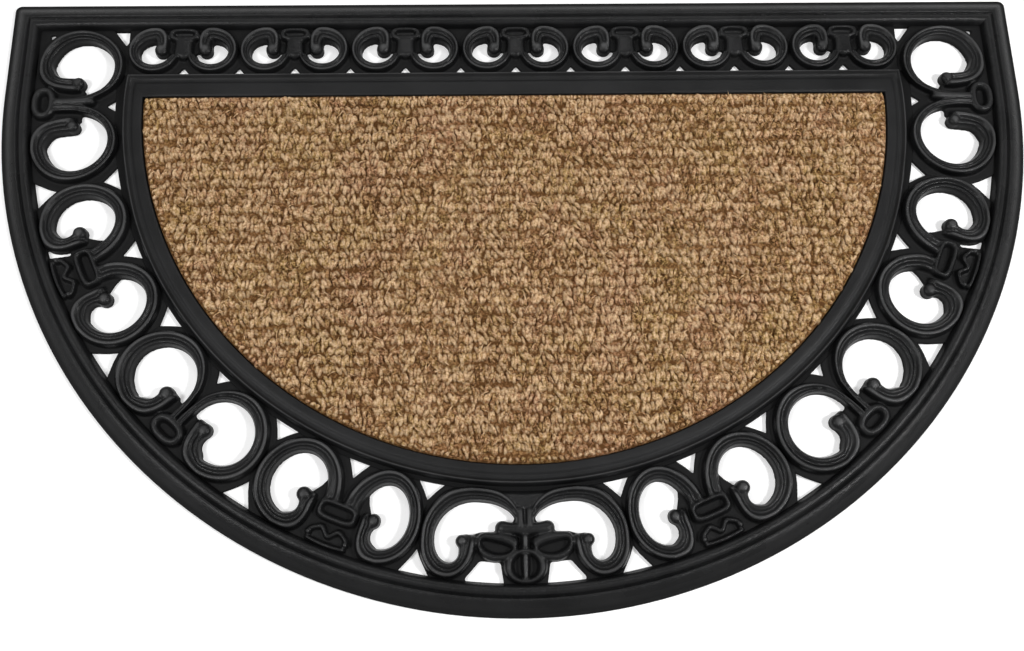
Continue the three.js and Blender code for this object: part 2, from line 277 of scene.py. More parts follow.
def makeCoir():
    material, tree, shader = startMaterial("coirYarn")
    where = addNode(tree, "ShaderNodeTexCoord").outputs
    fibres = addNode(tree, "ShaderNodeGroup", {"Vector": where["UV"]}, node_tree=fibreGrain).outputs
    middle = coirSet["mid"]
    for tint, base, texture, levels in coirSet["tints"]:
        share = addRange(tree, addNoise(tree, where[base], *texture), *levels)
        middle = addMix(tree, share, middle, coirSet[tint])
    # the yarns' own tone, with painted shade on their flanks and undersides
    tone = addNode(tree, "ShaderNodeAttribute", attribute_name="yarnToneAndShade").outputs["Fac"]
    tone = addMath(tree, "MULTIPLY", tone, coirSet["toneShare"])
    streak = addRange(tree, fibres["Streaks"], *coirSet["noiseLevels"])
    light = addMath(tree, "MULTIPLY_ADD", streak, coirSet["streakShare"], tone)
    ragged = addNoise(tree, where["Object"], *coirSet["raggedNoise"])
    ragged = addRange(tree, ragged, *coirSet["noiseLevels"], *coirSet["raggedShare"])
    light = addMath(tree, "ADD", light, ragged)
    colour = addMix(tree, addRange(tree, light, *coirSet["middleLevels"]), coirSet["deep"], middle)
    colour = addMix(tree, addRange(tree, light, *coirSet["paleLevels"]), colour, coirSet["pale"])
    height = addHeight(tree, where["Object"])
    # painted shade: yarn lower down turns towards the deep tone
    depthShade = addRange(tree, height, *coirSet["paintedShadeLevels"], coirSet["paintedShadeShare"], 0.0)
    fill(tree, shader, {
        "Base Color": addMix(tree, depthShade, colour, coirSet["deep"]),
        "Roughness": coirSet["roughness"],
        "Specular IOR Level": coirSet["specular"],
        "Normal": addBump(tree, fibres["Height"], coirSet["fibreDepth"]),
    })
    return material


rubber = makeRubber("moulded")
smoothRubber = makeRubber("smooth")
coirYarn = makeCoir()
print("materials made")


# building tools

def meshFrom(bm, name):
    # Turns a shape in the making into a mesh.
    mesh = bpy.data.meshes.new(name)
    bm.to_mesh(mesh)
    bm.free()
    return mesh


def shapeFrom(mesh):
    # Turns a spare mesh back into a shape in the making.
    bm = bmesh.new()
    bm.from_mesh(mesh)
    bpy.data.meshes.remove(mesh)
    return bm


def absorb(target, part):
    # Adds one shape in the making to another.
    spare = meshFrom(part, "spare")
    target.from_mesh(spare)
    bpy.data.meshes.remove(spare)


def joined(parts):
    bm = bmesh.new()
    for part in parts:
        absorb(bm, part)
    return bm


def extruded(bm, ring):
    # Extrudes a closed ring of points and gives the new ring in the same order.
    edges = [bm.edges.get(pair) for pair in zip(ring, ring[1:] + ring[:1])]
    made = bmesh.ops.extrude_edge_only(bm, edges=edges)["geom"]
    fresh = {item for item in made if isinstance(item, bmesh.types.BMVert)}
    follow = []
    for vert in ring:
        follow.append(next(edge.other_vert(vert) for edge in vert.link_edges if edge.other_vert(vert) in fresh))
    return follow


def loft(sections, closed=False):
    # Carries a closed section along its stations by extruding it, and joins or caps the ends.
    bm = bmesh.new()
    count = len(sections[0])
    first = list(bmesh.ops.create_circle(bm, cap_ends=False, segments=count, radius=1.0)["verts"])
    ring = first
    for number, section in enumerate(sections):
        if number:
            ring = extruded(bm, ring)
        for vert, place in zip(ring, section):
            vert.co = place
    if closed:
        for vert, goal in zip(extruded(bm, ring), first):
            vert.co = goal.co
        bmesh.ops.remove_doubles(bm, verts=bm.verts, dist=1e-4)
    else:
        bmesh.ops.edgeloop_fill(bm, edges=[edge for edge in bm.edges if edge.is_boundary])
    bmesh.ops.recalc_face_normals(bm, faces=bm.faces)
    return bm


def plateFrom(outlines, bottom, top, edge):
    # A flat plate of one outline and its holes, with softened edges.
    curve = bpy.data.curves.new("plate", "CURVE")
    curve.dimensions = "2D"
    curve.fill_mode = "BOTH"
    for outline in outlines:
        spline = curve.splines.new("POLY")
        spline.points.add(len(outline) - 1)
        for point, (x, y) in zip(spline.points, outline):
            point.co = (x, y, 0, 1)
        spline.use_cyclic_u = True
    curve.extrude = (top - bottom) / 2 - edge
    curve.bevel_depth = edge
    curve.bevel_resolution = 1
    curve.offset = -edge
    holder = bpy.data.objects.new("plate", curve)
    bm = shapeFrom(bpy.data.meshes.new_from_object(holder))
    bpy.data.objects.remove(holder)
    bpy.data.curves.remove(curve)
    bmesh.ops.translate(bm, verts=bm.verts, vec=(0, 0, (top + bottom) / 2))
    bmesh.ops.remove_doubles(bm, verts=bm.verts, dist=1e-4)
    bmesh.ops.recalc_face_normals(bm, faces=bm.faces)
    return bm


def reshaped(bm, kind, **settings):
    # Passes a shape in the making through one modifier.
    mesh = meshFrom(bm, "spare")
    holder = addObject("spare", mesh)
    modifier = holder.modifiers.new("spare", kind)
    for key, value in settings.items():
        setattr(modifier, key, value)
    graph = bpy.context.evaluated_depsgraph_get()
    made = shapeFrom(bpy.data.meshes.new_from_object(holder.evaluated_get(graph)))
    bpy.data.objects.remove(holder)
    bpy.data.meshes.remove(mesh)
    return made


def settle(bm, name, material, sharp=38):
    # Finishes a piece: metres in the frame of the part, soft shading with edges over so many degrees kept
    # sharp, its material and its body.
    bmesh.ops.scale(bm, verts=bm.verts, vec=(mm, mm, mm))
    bmesh.ops.translate(bm, verts=bm.verts, vec=(0, circleCentre, 0))
    for face in bm.faces:
        face.smooth = True
    for edge in bm.edges:
        edge.smooth = edge.calc_face_angle(math.pi) < math.radians(sharp)
    piece = addObject(name, meshFrom(bm, name))
    piece.data.materials.append(material)
    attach(piece, "root")
    return piece


def settleRubber(bm, name, node, material=rubber, sharp=60):
    piece = settle(bm, name, material, sharp)
    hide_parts(node)


def smoothRow(rows, parts):
    # Passes a smooth line through rows of numbers, with the given parts between neighbours.
    made = []
    for i in range(len(rows) - 1):
        a = rows[max(i - 1, 0)]
        b, c = rows[i], rows[i + 1]
        d = rows[min(i + 2, len(rows) - 1)]
        for k in range(parts):
            t = k / parts
            made.append(tuple(
                0.5 * (2 * q + (r - p) * t + (2 * p - 5 * q + 4 * r - s) * t * t
                       + (3 * q - p - 3 * r + s) * t ** 3)
                for p, q, r, s in zip(a, b, c, d)
            ))
    made.append(tuple(rows[-1]))
    return made


# outer rim and inner frame

# equal parts of a rounded corner, of a straight side, of the long straight edge and of the curve
cornerParts = 6
sideParts = 4
topParts = 24
curveParts = 120


def halfDiscStations(radius, top, corner=0):
    # Points round a half disc with their inward directions and the shift that rounds a corner, from the upper
    # left corner round the curve.
    stations = []

    def add(place, inward, shift=(0, 0, 0)):
        stations.append((Vector(place), Vector(inward), Vector(shift)))

    def addCorner(side):
        square = Vector((side * radius, top, 0))
        if not corner:
            add(square, (-side, -1, 0))
            return
        for t in range(cornerParts + 1)[::side]:
            angle = t / cornerParts * math.pi / 2
            x = side * (radius - corner + corner * math.cos(angle))
            y = top - corner + corner * math.sin(angle)
            add(square, (-side, -1, 0), Vector((x, y, 0)) - square)

    addCorner(-1)
    for i in range(1, sideParts):
        add((-radius, top * (1 - i / sideParts), 0), (1, 0, 0))
    for i in range(curveParts + 1):
        angle = math.pi + math.pi * i / curveParts
        out = Vector((math.cos(angle), math.sin(angle), 0))
        add(out * radius, -out)
    for i in range(1, sideParts):
        add((radius, top * i / sideParts, 0), (-1, 0, 0))
    addCorner(1)
    for i in range(1, topParts):
        add((radius * (1 - 2 * i / topParts), top, 0), (0, -1, 0))
    return stations


def halfDiscOutline(radius, centreY, top=0.0, corner=0.0, steps=96):
    # The outline of a half disc, carried straight up by top or with its two corners rounded.
    points = []
    for i in range(steps + 1):
        angle = math.pi + math.pi * i / steps
        points.append((radius * math.cos(angle), radius * math.sin(angle) + centreY))
    if corner:
        points = [p for p in points if p[1] - centreY < -corner - 1]
        right = []
        for k in range(6):
            angle = math.pi / 2 * k / 5
            y = corner * math.sin(angle) - corner + centreY
            right.append((radius - corner + corner * math.cos(angle), y))
        points += right + [(-x, y) for x, y in reversed(right)]
    elif top > 0:
        points += [(radius, top + centreY), (-radius, top + centreY)]
    return points


rimSet = {
    "radius": 381.0,
    "top": 76.2,
    "corner": 5.0,
    # distance in from the outer edge, height
    "profile": [
        (0.0, 0.0), (0.0, 1.6), (0.3, 2.6), (1.0, 3.2), (1.9, 3.2), (2.6, 3.4), (4.4, 4.7), (6.6, 6.2),
        (8.8, 7.4), (10.6, 8.1), (11.8, 8.35), (12.5, 8.0), (13.0, 7.0), (13.5, 6.6), (14.0, 7.0), (14.7, 7.9),
        (15.7, 8.6), (17.0, 8.95), (18.4, 8.8), (19.6, 8.2), (20.6, 7.0), (21.4, 5.2), (22.0, 3.4), (22.4, 0.0),
    ],
    # distance in from the outer edge where the corners' rounding has faded out
    "cornerFade": 9.0,
}


def makeRim():
    spec = rimSet
    sections = []
    for place, inward, shift in halfDiscStations(spec["radius"], spec["top"], spec["corner"]):
        section = []
        for d, z in spec["profile"]:
            fade = max(0.0, 1 - d / spec["cornerFade"])
            p = place + inward * d + shift * fade
            section.append((p.x, p.y, z))
        sections.append(section)
    return loft(sections, closed=True)


frameSet = {
    "radius": 298.2,
    "top": 15.7,
    "innerRadius": 277.1,
    "innerY": -4.0,
    "innerTop": 0.25,
    # distance in from the outer edge, height
    "bead": [
        (0.0, 0.0), (0.0, 3.3), (0.05, 3.4), (0.4, 5.2), (1.1, 7.3), (1.9, 8.9), (2.6, 9.4), (3.3, 8.8),
        (4.1, 7.5), (5.2, 6.7), (6.8, 6.5), (7.9, 6.8), (8.7, 7.3), (9.5, 7.5),
    ],
    # a low ledge outside the bead along the curve, and how far down it reaches its full width
    "ledge": (2.7, 70.0),
    # how far the upper corners are drawn in, from what height up, and the power by which it grows
    "drawIn": (7.2, -150.0, 1.6),
    # the sides run straight from this height to the corners
    "straightFrom": 5.0,
    # share of the way to the coir, height
    "band": [(0.3, 7.45), (0.7, 7.4), (0.93, 7.2), (0.985, 6.8), (1.0, 5.8), (1.0, 0.0)],
    # the flat edge outside the bead, with a square at each upper corner: from x, to x, its top
    "bottom": 0.1,
    "flatTop": 3.3,
    "floorTop": 2.5,
    "plateEdge": 0.3,
    "cornerFill": (283.0, 292.4, 23.6),
}


def frameBody():
    # The bead and the band inside it, all round the coir.
    spec = frameSet
    radius, top, innerRadius, innerY = (spec[key] for key in ("radius", "top", "innerRadius", "innerY"))
    beadWidth = spec["bead"][-1][0]
    most, low, power = spec["drawIn"]
    nearTop = top - 0.01
    sections = []
    for place, inward, _ in halfDiscStations(radius, top):
        if spec["straightFrom"] < place.y < nearTop:
            continue
        drawn = min(1.0, max(0.0, (place.y - low) / (top - low)))
        narrow = 1 - most * drawn ** power / radius
        ledge = spec["ledge"][0] * min(1.0, max(0.0, -place.y / spec["ledge"][1]))
        section = []
        for i, (d, z) in enumerate(spec["bead"]):
            p = place + inward * (d + ledge if i > 1 else d)
            section.append((p.x * narrow, p.y, z))
        start = place + inward * (beadWidth + ledge)
        if place.y > nearTop:
            goal = Vector((start.x * innerRadius / (radius - beadWidth), innerY + spec["innerTop"], 0))
        elif place.y > 0:
            goal = Vector((math.copysign(innerRadius, place.x), innerY, 0))
        else:
            goal = place.normalized() * innerRadius + Vector((0, innerY, 0))
        start.x *= narrow
        for share, z in spec["band"]:
            p = start.lerp(goal, share)
            section.append((p.x, p.y, z))
        sections.append(section)
    return loft(sections, closed=True)


def framePlates():
    # The flat edge outside the bead, and the floor under the coir.
    spec = frameSet
    radius, top, innerRadius, innerY = (spec[key] for key in ("radius", "top", "innerRadius", "innerY"))
    inside, outside, high = spec["cornerFill"]
    corner = [(radius, top), (outside, top), (outside, high), (inside, high), (inside, top - 2)]
    edge = halfDiscOutline(radius, 0.0) + corner + [(-x, y) for x, y in reversed(corner)]
    well = halfDiscOutline(innerRadius + 1, innerY, 1)
    floor = halfDiscOutline(innerRadius + 3, innerY, 3)
    return [
        plateFrom([edge, well], spec["bottom"], spec["flatTop"], spec["plateEdge"]),
        plateFrom([floor], spec["bottom"], spec["floorTop"], spec["plateEdge"]),
    ]


settleRubber(makeRim(), "outerRim", "outer_rim", rubber, 50)
settleRubber(joined([frameBody()] + framePlates()), "innerFrame", "panel_tray", smoothRubber, 50)
print("rim and inner frame made")


# scroll border

borderSet = {
    "inner": frameSet["radius"],
    "outer": 359.5,
    "straightInner": frameSet["top"],
    "straightOuter": 54.7,
    # half the length of a pair and of the palmette, and where a pair beside the palmette begins to be narrower
    "half": midRadius * pitch / 2,
    "wideHalf": 68.8,
    "keptHalf": 14.0,
    "smallPitch": 83.3,
    "smallPairs": 7,
    # how far the pairs stand nearer to the palmette, at most, and the stretch of the curve where they do
    "crowding": (2.6, 68.8, 430.0),
    # the flat web, with its reach under the rim and the frame and its overlap with the next pair
    "webBottom": 0.15,
    "webTop": 3.3,
    "webEdge": 0.35,
    "reach": 0.4,
    "overlap": 0.9,
    # the notch where pairs meet: half width, rise at the coir side, drop at the rim side
    "notch": (10.5, 13.4, 18.5),
    "smallNotch": (6.2, 7.4, 0.0),
    "partBottom": 0.1,
    "ringSteps": 44,
    "smallSteps": 32,
    # how the shapes are cast into one
    "voxel": 0.75,
    "smoothings": 2,
    "keptShare": 0.36,
}

# share of the way from a band's outer edge to its hole edge, height
bandProfile = [
    (0.0, 0.0), (0.01, 3.8), (0.04, 6.0), (0.09, 7.9), (0.15, 9.1), (0.22, 9.6), (0.30, 9.5), (0.37, 8.7),
    (0.43, 7.6), (0.49, 6.9), (0.55, 7.1), (0.62, 8.0), (0.69, 8.7), (0.76, 8.9), (0.83, 8.4), (0.89, 7.1),
    (0.94, 5.3), (0.98, 3.2), (1.0, 0.0),
]
# share of a band's height at its first and its last stations, from the end inwards
bandStart = (0.84, 0.9, 0.96, 1.0)
bandEnd = (0.55, 0.8, 0.94, 1.0)


def evenProfile(half):
    return half + [(1 - f, share) for f, share in reversed(half[:-1])]


# share of the width from one side to the other, share of the height
barProfile = evenProfile([(0.0, 0.0), (0.03, 0.55), (0.12, 0.8), (0.27, 0.95), (0.5, 1.0)])
flatProfile = evenProfile([(0.0, 0.0), (0.02, 0.6), (0.10, 0.88), (0.22, 0.98), (0.5, 1.0)])
ringProfile = [
    (0.0, 0.0), (0.02, 0.5), (0.12, 0.8), (0.3, 0.96), (0.5, 1.0), (0.68, 0.95), (0.84, 0.78), (0.95, 0.55),
    (1.0, 0.0),
]
# share of a ball's radius, height
ballProfile = [
    (1.0, 0.05), (1.0, 4.4), (0.98, 5.6), (0.92, 6.8), (0.82, 7.8), (0.67, 8.6), (0.47, 9.15), (0.24, 9.45),
    (0, 9.5),
]
ballSteps = 22

# u runs along the border from a pair's middle, v away from the coir. A ring and its hole are a centre and two
# half axes, followed over a turn. Each row of a stem or an arm gives the outer edge, then the hole edge.
scrollKinds = {
    "oval": {
        "ring": (31.5, 327.7, 30.9, 32.2), "hole": (28.3, 327.6, 22.4, 21.5), "turn": (200, 447),
        "stem": [(0.4, 344, 5.6, 344), (0.4, 338, 5.6, 338), (0.5, 332, 5.7, 331.6), (0.9, 326.5, 5.9, 326)],
        "arm": [(24.0, 358.8, 27.6, 346.8), (17.4, 355.2, 24.6, 344.4), (13.4, 349.0, 22.9, 341.6),
                (11.2, 342.0, 22.7, 338.4), (10.2, 335.2, 22.6, 334.6), (10.2, 329.6, 18.6, 329.0)],
        "tip": (18.3, 334.0, 5.4), "ballTurn": (20, -150), "foot": (6.0, 8.0),
        "notch": [(12.0, 329.8), (8.6, 331.4)],
    },
    "corner": {
        "ring": (31.5, 327.1, 30.6, 31.9), "hole": (29.8, 325.8, 22.7, 22.5), "turn": (200, 447),
        "stem": [(0.4, 344, 5.6, 344), (0.4, 338, 5.6, 338), (0.5, 332, 5.7, 331.6), (1.0, 325.5, 6.4, 325)],
        "arm": [(24.0, 358.2, 28.0, 346.6), (17.2, 354.0, 24.8, 344.0), (12.8, 346.8, 22.9, 340.6),
                (10.6, 338.0, 22.5, 334.6), (9.9, 331.0, 22.4, 330.0), (10.4, 325.6, 17.0, 325.0)],
        "tip": (17.7, 327.7, 4.9), "ballTurn": (20, -150), "foot": (5.0, 7.0),
        "notch": [(12.0, 322.6), (9.0, 323.0)],
    },
    "leaf": {
        "ring": (32.0, 327.7, 30.9, 32.2), "hole": (32.7, 327.8, 18.9, 21.3), "turn": (176, 445),
        "arm": [(25.4, 358.8, 32.4, 348.4), (20.2, 354.8, 28.4, 345.8), (17.6, 349.0, 26.8, 342.8),
                (16.6, 343.0, 26.8, 339.8), (16.5, 336.6, 27.6, 336.2), (16.8, 329.4, 24.0, 328.4)],
        "tip": (26.0, 332.6, 5.2), "ballTurn": (25, -150), "foot": (8.5, 12.5),
        "notch": [(21.4, 327.4), (18.2, 322.4), (15.8, 316.6)],
    },
    "small": {
        "ring": (21.6, 35.2, 19.4, 19.4), "hole": (21.3, 33.2, 11.5, 9.4), "turn": (190, 445),
        "arm": [(17.4, 54.0, 22.8, 43.8), (13.4, 51.2, 21.8, 42.8), (11.2, 46.8, 21.3, 41.4),
                (10.8, 42.0, 21.0, 39.8), (11.0, 37.0, 20.8, 36.8), (12.0, 33.0, 17.4, 32.6)],
        "tip": (16.5, 35.6, 5.3), "ballTurn": (10, -160), "foot": (6.2, 7.0),
        "notch": [(8.8, 34.2)],
    },
    # the wide pair in the middle of the curve isn't a ring, so all its rows are given
    "palmette": {
        "rows": [
            (3.4, 313.5, 7.6, 315.6), (8.0, 305.5, 11.7, 311.6), (17.0, 298.9, 20.0, 308.0),
            (29.0, 296.7, 30.0, 306.8), (42.6, 297.3, 40.5, 308.0), (56.0, 301.9, 49.4, 312.2),
            (65.0, 312.6, 56.0, 319.4), (68.7, 324.0, 59.2, 328.4), (68.4, 336.0, 58.6, 337.0),
            (65.6, 347.4, 55.8, 343.4), (59.0, 356.2, 51.8, 347.0), (50.6, 359.2, 47.4, 348.0),
            (43.2, 357.8, 44.0, 345.8), (37.2, 352.4, 42.6, 342.4), (33.0, 345.0, 42.8, 338.8),
            (31.6, 337.4, 42.8, 334.6), (31.8, 329.0, 40.6, 328.6),
        ],
        "tip": (41.0, 333.6, 4.4), "ballTurn": (15, -130),
        "notch": [(33.0, 327.8), (29.0, 326.2), (18.4, 326.2), (18.4, 321.0), (8.6, 320.4)],
    },
}


def fuse(bm):
    # Runs overlapping shapes together into one cast body with soft inside corners.
    cast = reshaped(bm, "REMESH", mode="VOXEL", voxel_size=borderSet["voxel"])
    axes = {"use_axis_x": True, "use_axis_y": True, "use_axis_z": True}
    for _ in range(borderSet["smoothings"]):
        bmesh.ops.smooth_vert(cast, verts=cast.verts, factor=0.5, **axes)
    return reshaped(cast, "DECIMATE", ratio=borderSet["keptShare"])


def mirrored(bm):
    # The same shape on the other side of the pair.
    other = bm.copy()
    bmesh.ops.scale(other, verts=other.verts, vec=(-1, 1, 1))
    bmesh.ops.recalc_face_normals(other, faces=other.faces)
    return other


def bothOf(part):
    return [mirrored(part), part]


def bothHalves(half):
    # Rows from the middle outwards, with their mirror image before them.
    return [(-u, *rest) for u, *rest in reversed(half) if u] + half


def between(outer, inner, share):
    return tuple(a + (b - a) * share for a, b in zip(outer, inner))


def scrollStations(kind):
    # Outer and hole edge of one scroll from the foot of its stem round to its tip.
    spec = scrollKinds[kind]
    if "rows" in spec:
        return smoothRow(spec["rows"], 4)
    ru, rv, ra, rb = spec["ring"]
    hu, hv, ha, hb = spec["hole"]
    start, end = spec["turn"]
    steps = borderSet["smallSteps" if kind == "small" else "ringSteps"]
    rows = []
    for i in range(steps + 1):
        angle = math.radians(start + (end - start) * i / steps)
        c, s = math.cos(angle), math.sin(angle)
        rows.append((ru + ra * c, rv + rb * s, hu + ha * c, hv + hb * s))
    stem = smoothRow(spec["stem"] + rows[:2], 4)[:-1] if "stem" in spec else []
    arm = smoothRow([rows[-2], rows[-1]] + spec["arm"], 4)
    return stem + rows[1 if stem else 0:-2] + arm


def bandSections(stations):
    # The two-ridged section of a band, which falls away a little at both ends.
    sections = []
    last = len(stations) - 1
    for i, row in enumerate(stations):
        drop = bandEnd[min(last - i, 3)] * bandStart[min(i, 3)]
        sections.append([(*between(row[:2], row[2:], f), z * drop) for f, z in bandProfile])
    return sections


def ballTip(tip):
    # The rounded ball that an arm ends in, spun from its half outline.
    u, v, r = tip
    bm = bmesh.new()
    verts = [bm.verts.new((u + x * r, v, z)) for x, z in ballProfile]
    edges = [bm.edges.new(pair) for pair in zip(verts, verts[1:])]
    spun = {"cent": (u, v, 0), "axis": (0, 0, 1), "angle": 2 * math.pi, "steps": ballSteps, "use_merge": True}
    bmesh.ops.spin(bm, geom=verts + edges, **spun)
    bmesh.ops.remove_doubles(bm, verts=bm.verts, dist=1e-3)
    bmesh.ops.edgeloop_fill(bm, edges=[edge for edge in bm.edges if edge.is_boundary])
    bmesh.ops.recalc_face_normals(bm, faces=bm.faces)
    return bm


def roundEnd(station, side):
    # Shrinking stations beyond one end of a bar, which stop just short of a point.
    place, along, w, _ = station
    made = []
    for k in range(1, 5):
        angle = math.pi / 2 * k / 4.2
        lift = 0.35 + 0.65 * math.cos(angle)
        made.append((place + along * side * w * math.sin(angle), along, w * math.cos(angle), lift))
    return made


def bar(rows, height, profile=barProfile, roundEnds=True):
    # A rounded bar along a smooth line, given in rows of u, v and half width.
    rows = smoothRow(rows, 4)
    stations = []
    for i, (u, v, w) in enumerate(rows):
        before, after = rows[max(i - 1, 0)], rows[min(i + 1, len(rows) - 1)]
        along = Vector((after[0] - before[0], after[1] - before[1])).normalized()
        stations.append((Vector((u, v)), along, w, 1.0))
    if roundEnds:
        stations = roundEnd(stations[0], -1)[::-1] + stations + roundEnd(stations[-1], 1)
    base = borderSet["partBottom"]
    sections = []
    for place, along, w, lift in stations:
        across = Vector((-along.y, along.x))
        section = []
        for f, share in profile:
            p = place + across * (f - 0.5) * 2 * w
            section.append((p.x, p.y, base + (height * lift - base) * share))
        sections.append(section)
    return loft(sections)


def roundedLoop(u, v, a, b, power, steps):
    # A closed loop between an oval and a rounded rectangle: its centre, half axes and squareness.
    made = []
    for i in range(steps):
        angle = 2 * math.pi * i / steps
        c, s = math.cos(angle), math.sin(angle)
        x, y = (math.copysign(abs(part) ** (2 / power), part) for part in (c, s))
        made.append((u + a * x, v + b * y))
    return made


def ringBetween(outside, inside, height):
    # A raised ring between two loops of equal count.
    base = borderSet["partBottom"]
    sections = []
    for outer, inner in zip(outside, inside):
        section = [(*between(outer, inner, f), base + (height - base) * share) for f, share in ringProfile]
        sections.append(section)
    return loft(sections, closed=True)


def collar(outer, inner, height, steps=36):
    return ringBetween(roundedLoop(*outer, steps), roundedLoop(*inner, steps), height)


def softLoop(points, parts=5):
    # A closed smooth loop through a few points.
    rows = smoothRow([points[-1]] + points + [points[0], points[1]], parts)
    return rows[parts:-parts - 1]


def ovalOrnament():
    return [collar((0, 349.7, 12.6, 9.7, 2.3), (0, 349.9, 6.2, 2.6, 2.6), 9.2)]


def cornerOrnament():
    stem = bar([(0, 340, 3.0), (0, 330, 3.2), (0, 320, 3.7), (0, 314.5, 3.2)], 9.4)
    return ovalOrnament() + [stem]


def leafOrnament():
    lid = bothHalves([(0, 357.6, 1.8), (6, 357.4, 1.7), (12.2, 356.8, 1.6)])
    leaves = bothHalves([(0, 352.0, 1.9), (2.7, 349.6, 1.7), (5.6, 346.9, 2.0), (8.6, 348.2, 1.8),
                         (11.4, 350.2, 1.8), (12.6, 352.4, 1.9)])
    filling = bothHalves([(6, 347), (13.2, 351), (13.2, 358)])
    return [
        collar((0, 335.2, 14.2, 7.6, 4.0), (0, 334.8, 9.8, 2.9, 3.6), 9.2),
        bar(lid, 8.7),
        bar(leaves, 8.9),
        *bothOf(ballTip((12.4, 353.2, 2.2))),
        plateFrom([filling], 0.2, 3.9, 0.3),
    ]


def smallOrnament():
    body = [(0, 44.5, 7.2), (0, 40, 7.0), (0, 36, 7.2), (0, 31.6, 7.8)]
    return [
        collar((0, 47.8, 11.8, 5.6, 3.0), (0, 48.0, 6.8, 1.7, 3.0), 9.0, 32),
        plateFrom([roundedLoop(0, 47.8, 9.4, 3.8, 3.0, 28)], 0.2, 5.0, 0.3),
        bar(body, 8.5, flatProfile, roundEnds=False),
        bar([(0, 34, 5.4), (0, 31, 3.9)], 8.5, flatProfile),
    ]


def palmetteOrnament():
    # Two stems, a bar that fills their top, the cross bar, the wings, the drop and its rib in two lengths.
    stems = [[(u, 311.5, 3.3), (u * 0.95, 316, 3.2), (u * 0.95, 322, 3.2)] for u in (-3.3, 3.3)]
    top = bothHalves([(0, 305.2, 6.4), (9, 303.0, 4.2), (17, 301.0, 1.6)])
    cross = bothHalves([(0, 323.6, 4.8), (8.0, 323.4, 4.2), (15.2, 323.0, 5.0)])
    outside = [(4.2, 331.0), (11.5, 326.4), (22.0, 325.8), (30.2, 327.6), (31.6, 335.5), (27.8, 342.6),
               (19.5, 345.8), (9.0, 342.2)]
    inside = [(8.8, 337.0), (13.4, 334.4), (20.0, 332.8), (26.4, 331.8), (28.2, 333.6), (25.4, 337.0),
              (19.6, 339.2), (12.8, 339.2)]
    return [
        *(bar(stem, 9.2) for stem in stems),
        bar(top, 8.3),
        bar(cross, 8.8),
        *bothOf(ringBetween(softLoop(outside), softLoop(inside), 9.1)),
        collar((0, 347.8, 13.8, 11.8, 2.1), (0, 347.8, 7.2, 7.8, 2.0), 9.2),
        bar([(0, 329, 2.9), (0, 332, 2.8), (0, 335, 2.6)], 9.6),
        bar([(0, 341, 2.6), (0, 347, 2.8), (0, 355, 2.2)], 9.6),
    ]


ornaments = {"oval": ovalOrnament, "leaf": leafOrnament, "small": smallOrnament, "palmette": palmetteOrnament}


def onCurve(turn, side=1):
    # Places u and v round the curve, a little nearer to the palmette where the pairs crowd towards it.
    def place(u, v):
        angle = turn + u / midRadius
        most, start, end = borderSet["crowding"]
        share = (abs(angle) * midRadius - start) / (end - start)
        if 0 < share < 1:
            angle -= math.copysign(most / midRadius * math.sin(math.pi * share), angle)
        return side * v * math.sin(angle), -v * math.cos(angle)
    return place


def narrowed(place):
    # Draws the palmette's side of a pair in beyond its middle, where the wide palmette pair needs the room.
    kept = borderSet["keptHalf"]
    scale = (2 * borderSet["half"] - borderSet["wideHalf"] - kept) / (borderSet["half"] - kept)
    return lambda u, v: place((u + kept) * scale - kept if -u > kept else u, v)


def onStraight(shift):
    return lambda u, v: (u + shift, v)


def denser(points, step=4.0):
    # The same closed outline with further points along its long sides.
    made = []
    for a, b in zip(points, points[1:] + points[:1]):
        count = max(1, int(math.dist(a, b) / step))
        made += [between(a, b, k / count) for k in range(count)]
    return made


def holeOutline(kind):
    # The opening of one scroll in the web, hidden under band and ball except between ball and stem.
    spec = scrollKinds[kind]
    high = spec["notch"][-1][1]
    stations = scrollStations(kind)
    while stations[0][3] > high:
        stations = stations[1:]
    u, v, r = spec["tip"]
    while stations[-1][3] < v:
        stations = stations[:-1]
    points = [between(row[:2], row[2:], 0.8) for row in stations]
    first, last = spec["ballTurn"]
    for i in range(11):
        angle = math.radians(first + (last - first) * i / 10)
        points.append((u + (r - 1.0) * math.cos(angle), v + (r - 1.0) * math.sin(angle)))
    return points + spec["notch"]


def halfNotches(half, low, high, sizes):
    # A pair's end, with half of the notch at the coir side and half of the one at the rim side.
    width, rise, drop = sizes
    rows = [(half - width, low), (half - width * 0.5, low + rise * 0.45), (half, low + rise)]
    if not drop:
        return rows + [(half, high)]
    return rows + [(half, high - drop), (half - width * 0.35, high - drop * 0.6), (half - width, high)]


def limits(kind):
    # The lowest and highest v of a web.
    inner, outer = ("straightInner", "straightOuter") if kind == "small" else ("inner", "outer")
    return borderSet[inner] - borderSet["reach"], borderSet[outer] + borderSet["reach"]


def webOutlines(kind):
    # The outline of a pair's flat web and its two openings.
    halves = {"small": borderSet["smallPitch"] / 2, "palmette": borderSet["wideHalf"]}
    half = halves.get(kind, borderSet["half"])
    low, high = limits(kind)
    spare = borderSet["overlap"]
    width, rise, drop = borderSet["smallNotch" if kind == "small" else "notch"]
    right = halfNotches(half + spare, low, high, (width + spare, rise, drop))
    middle = [(0, low)]
    if "foot" in scrollKinds[kind]:
        width, rise = scrollKinds[kind]["foot"]
        middle = bothHalves([(0, low + rise), (width * 0.45, low + rise * 0.5), (width, low)])
    left = [(-u, v) for u, v in reversed(right)]
    hole = holeOutline(kind)
    return [denser(middle + right + left), hole, [(-u, v) for u, v in hole]]


# the slit beside the bars of each third pair, and the gap beside the palmette's drop
slitRows = [(24.4, 358.6), (17.6, 358.6), (14.3, 343.8), (18.4, 342.8), (20.6, 349)]
dropGapRows = [(13.0, 359.9), (15.6, 345.6), (28.6, 345.2), (37.0, 357.4), (35.4, 359.9)]


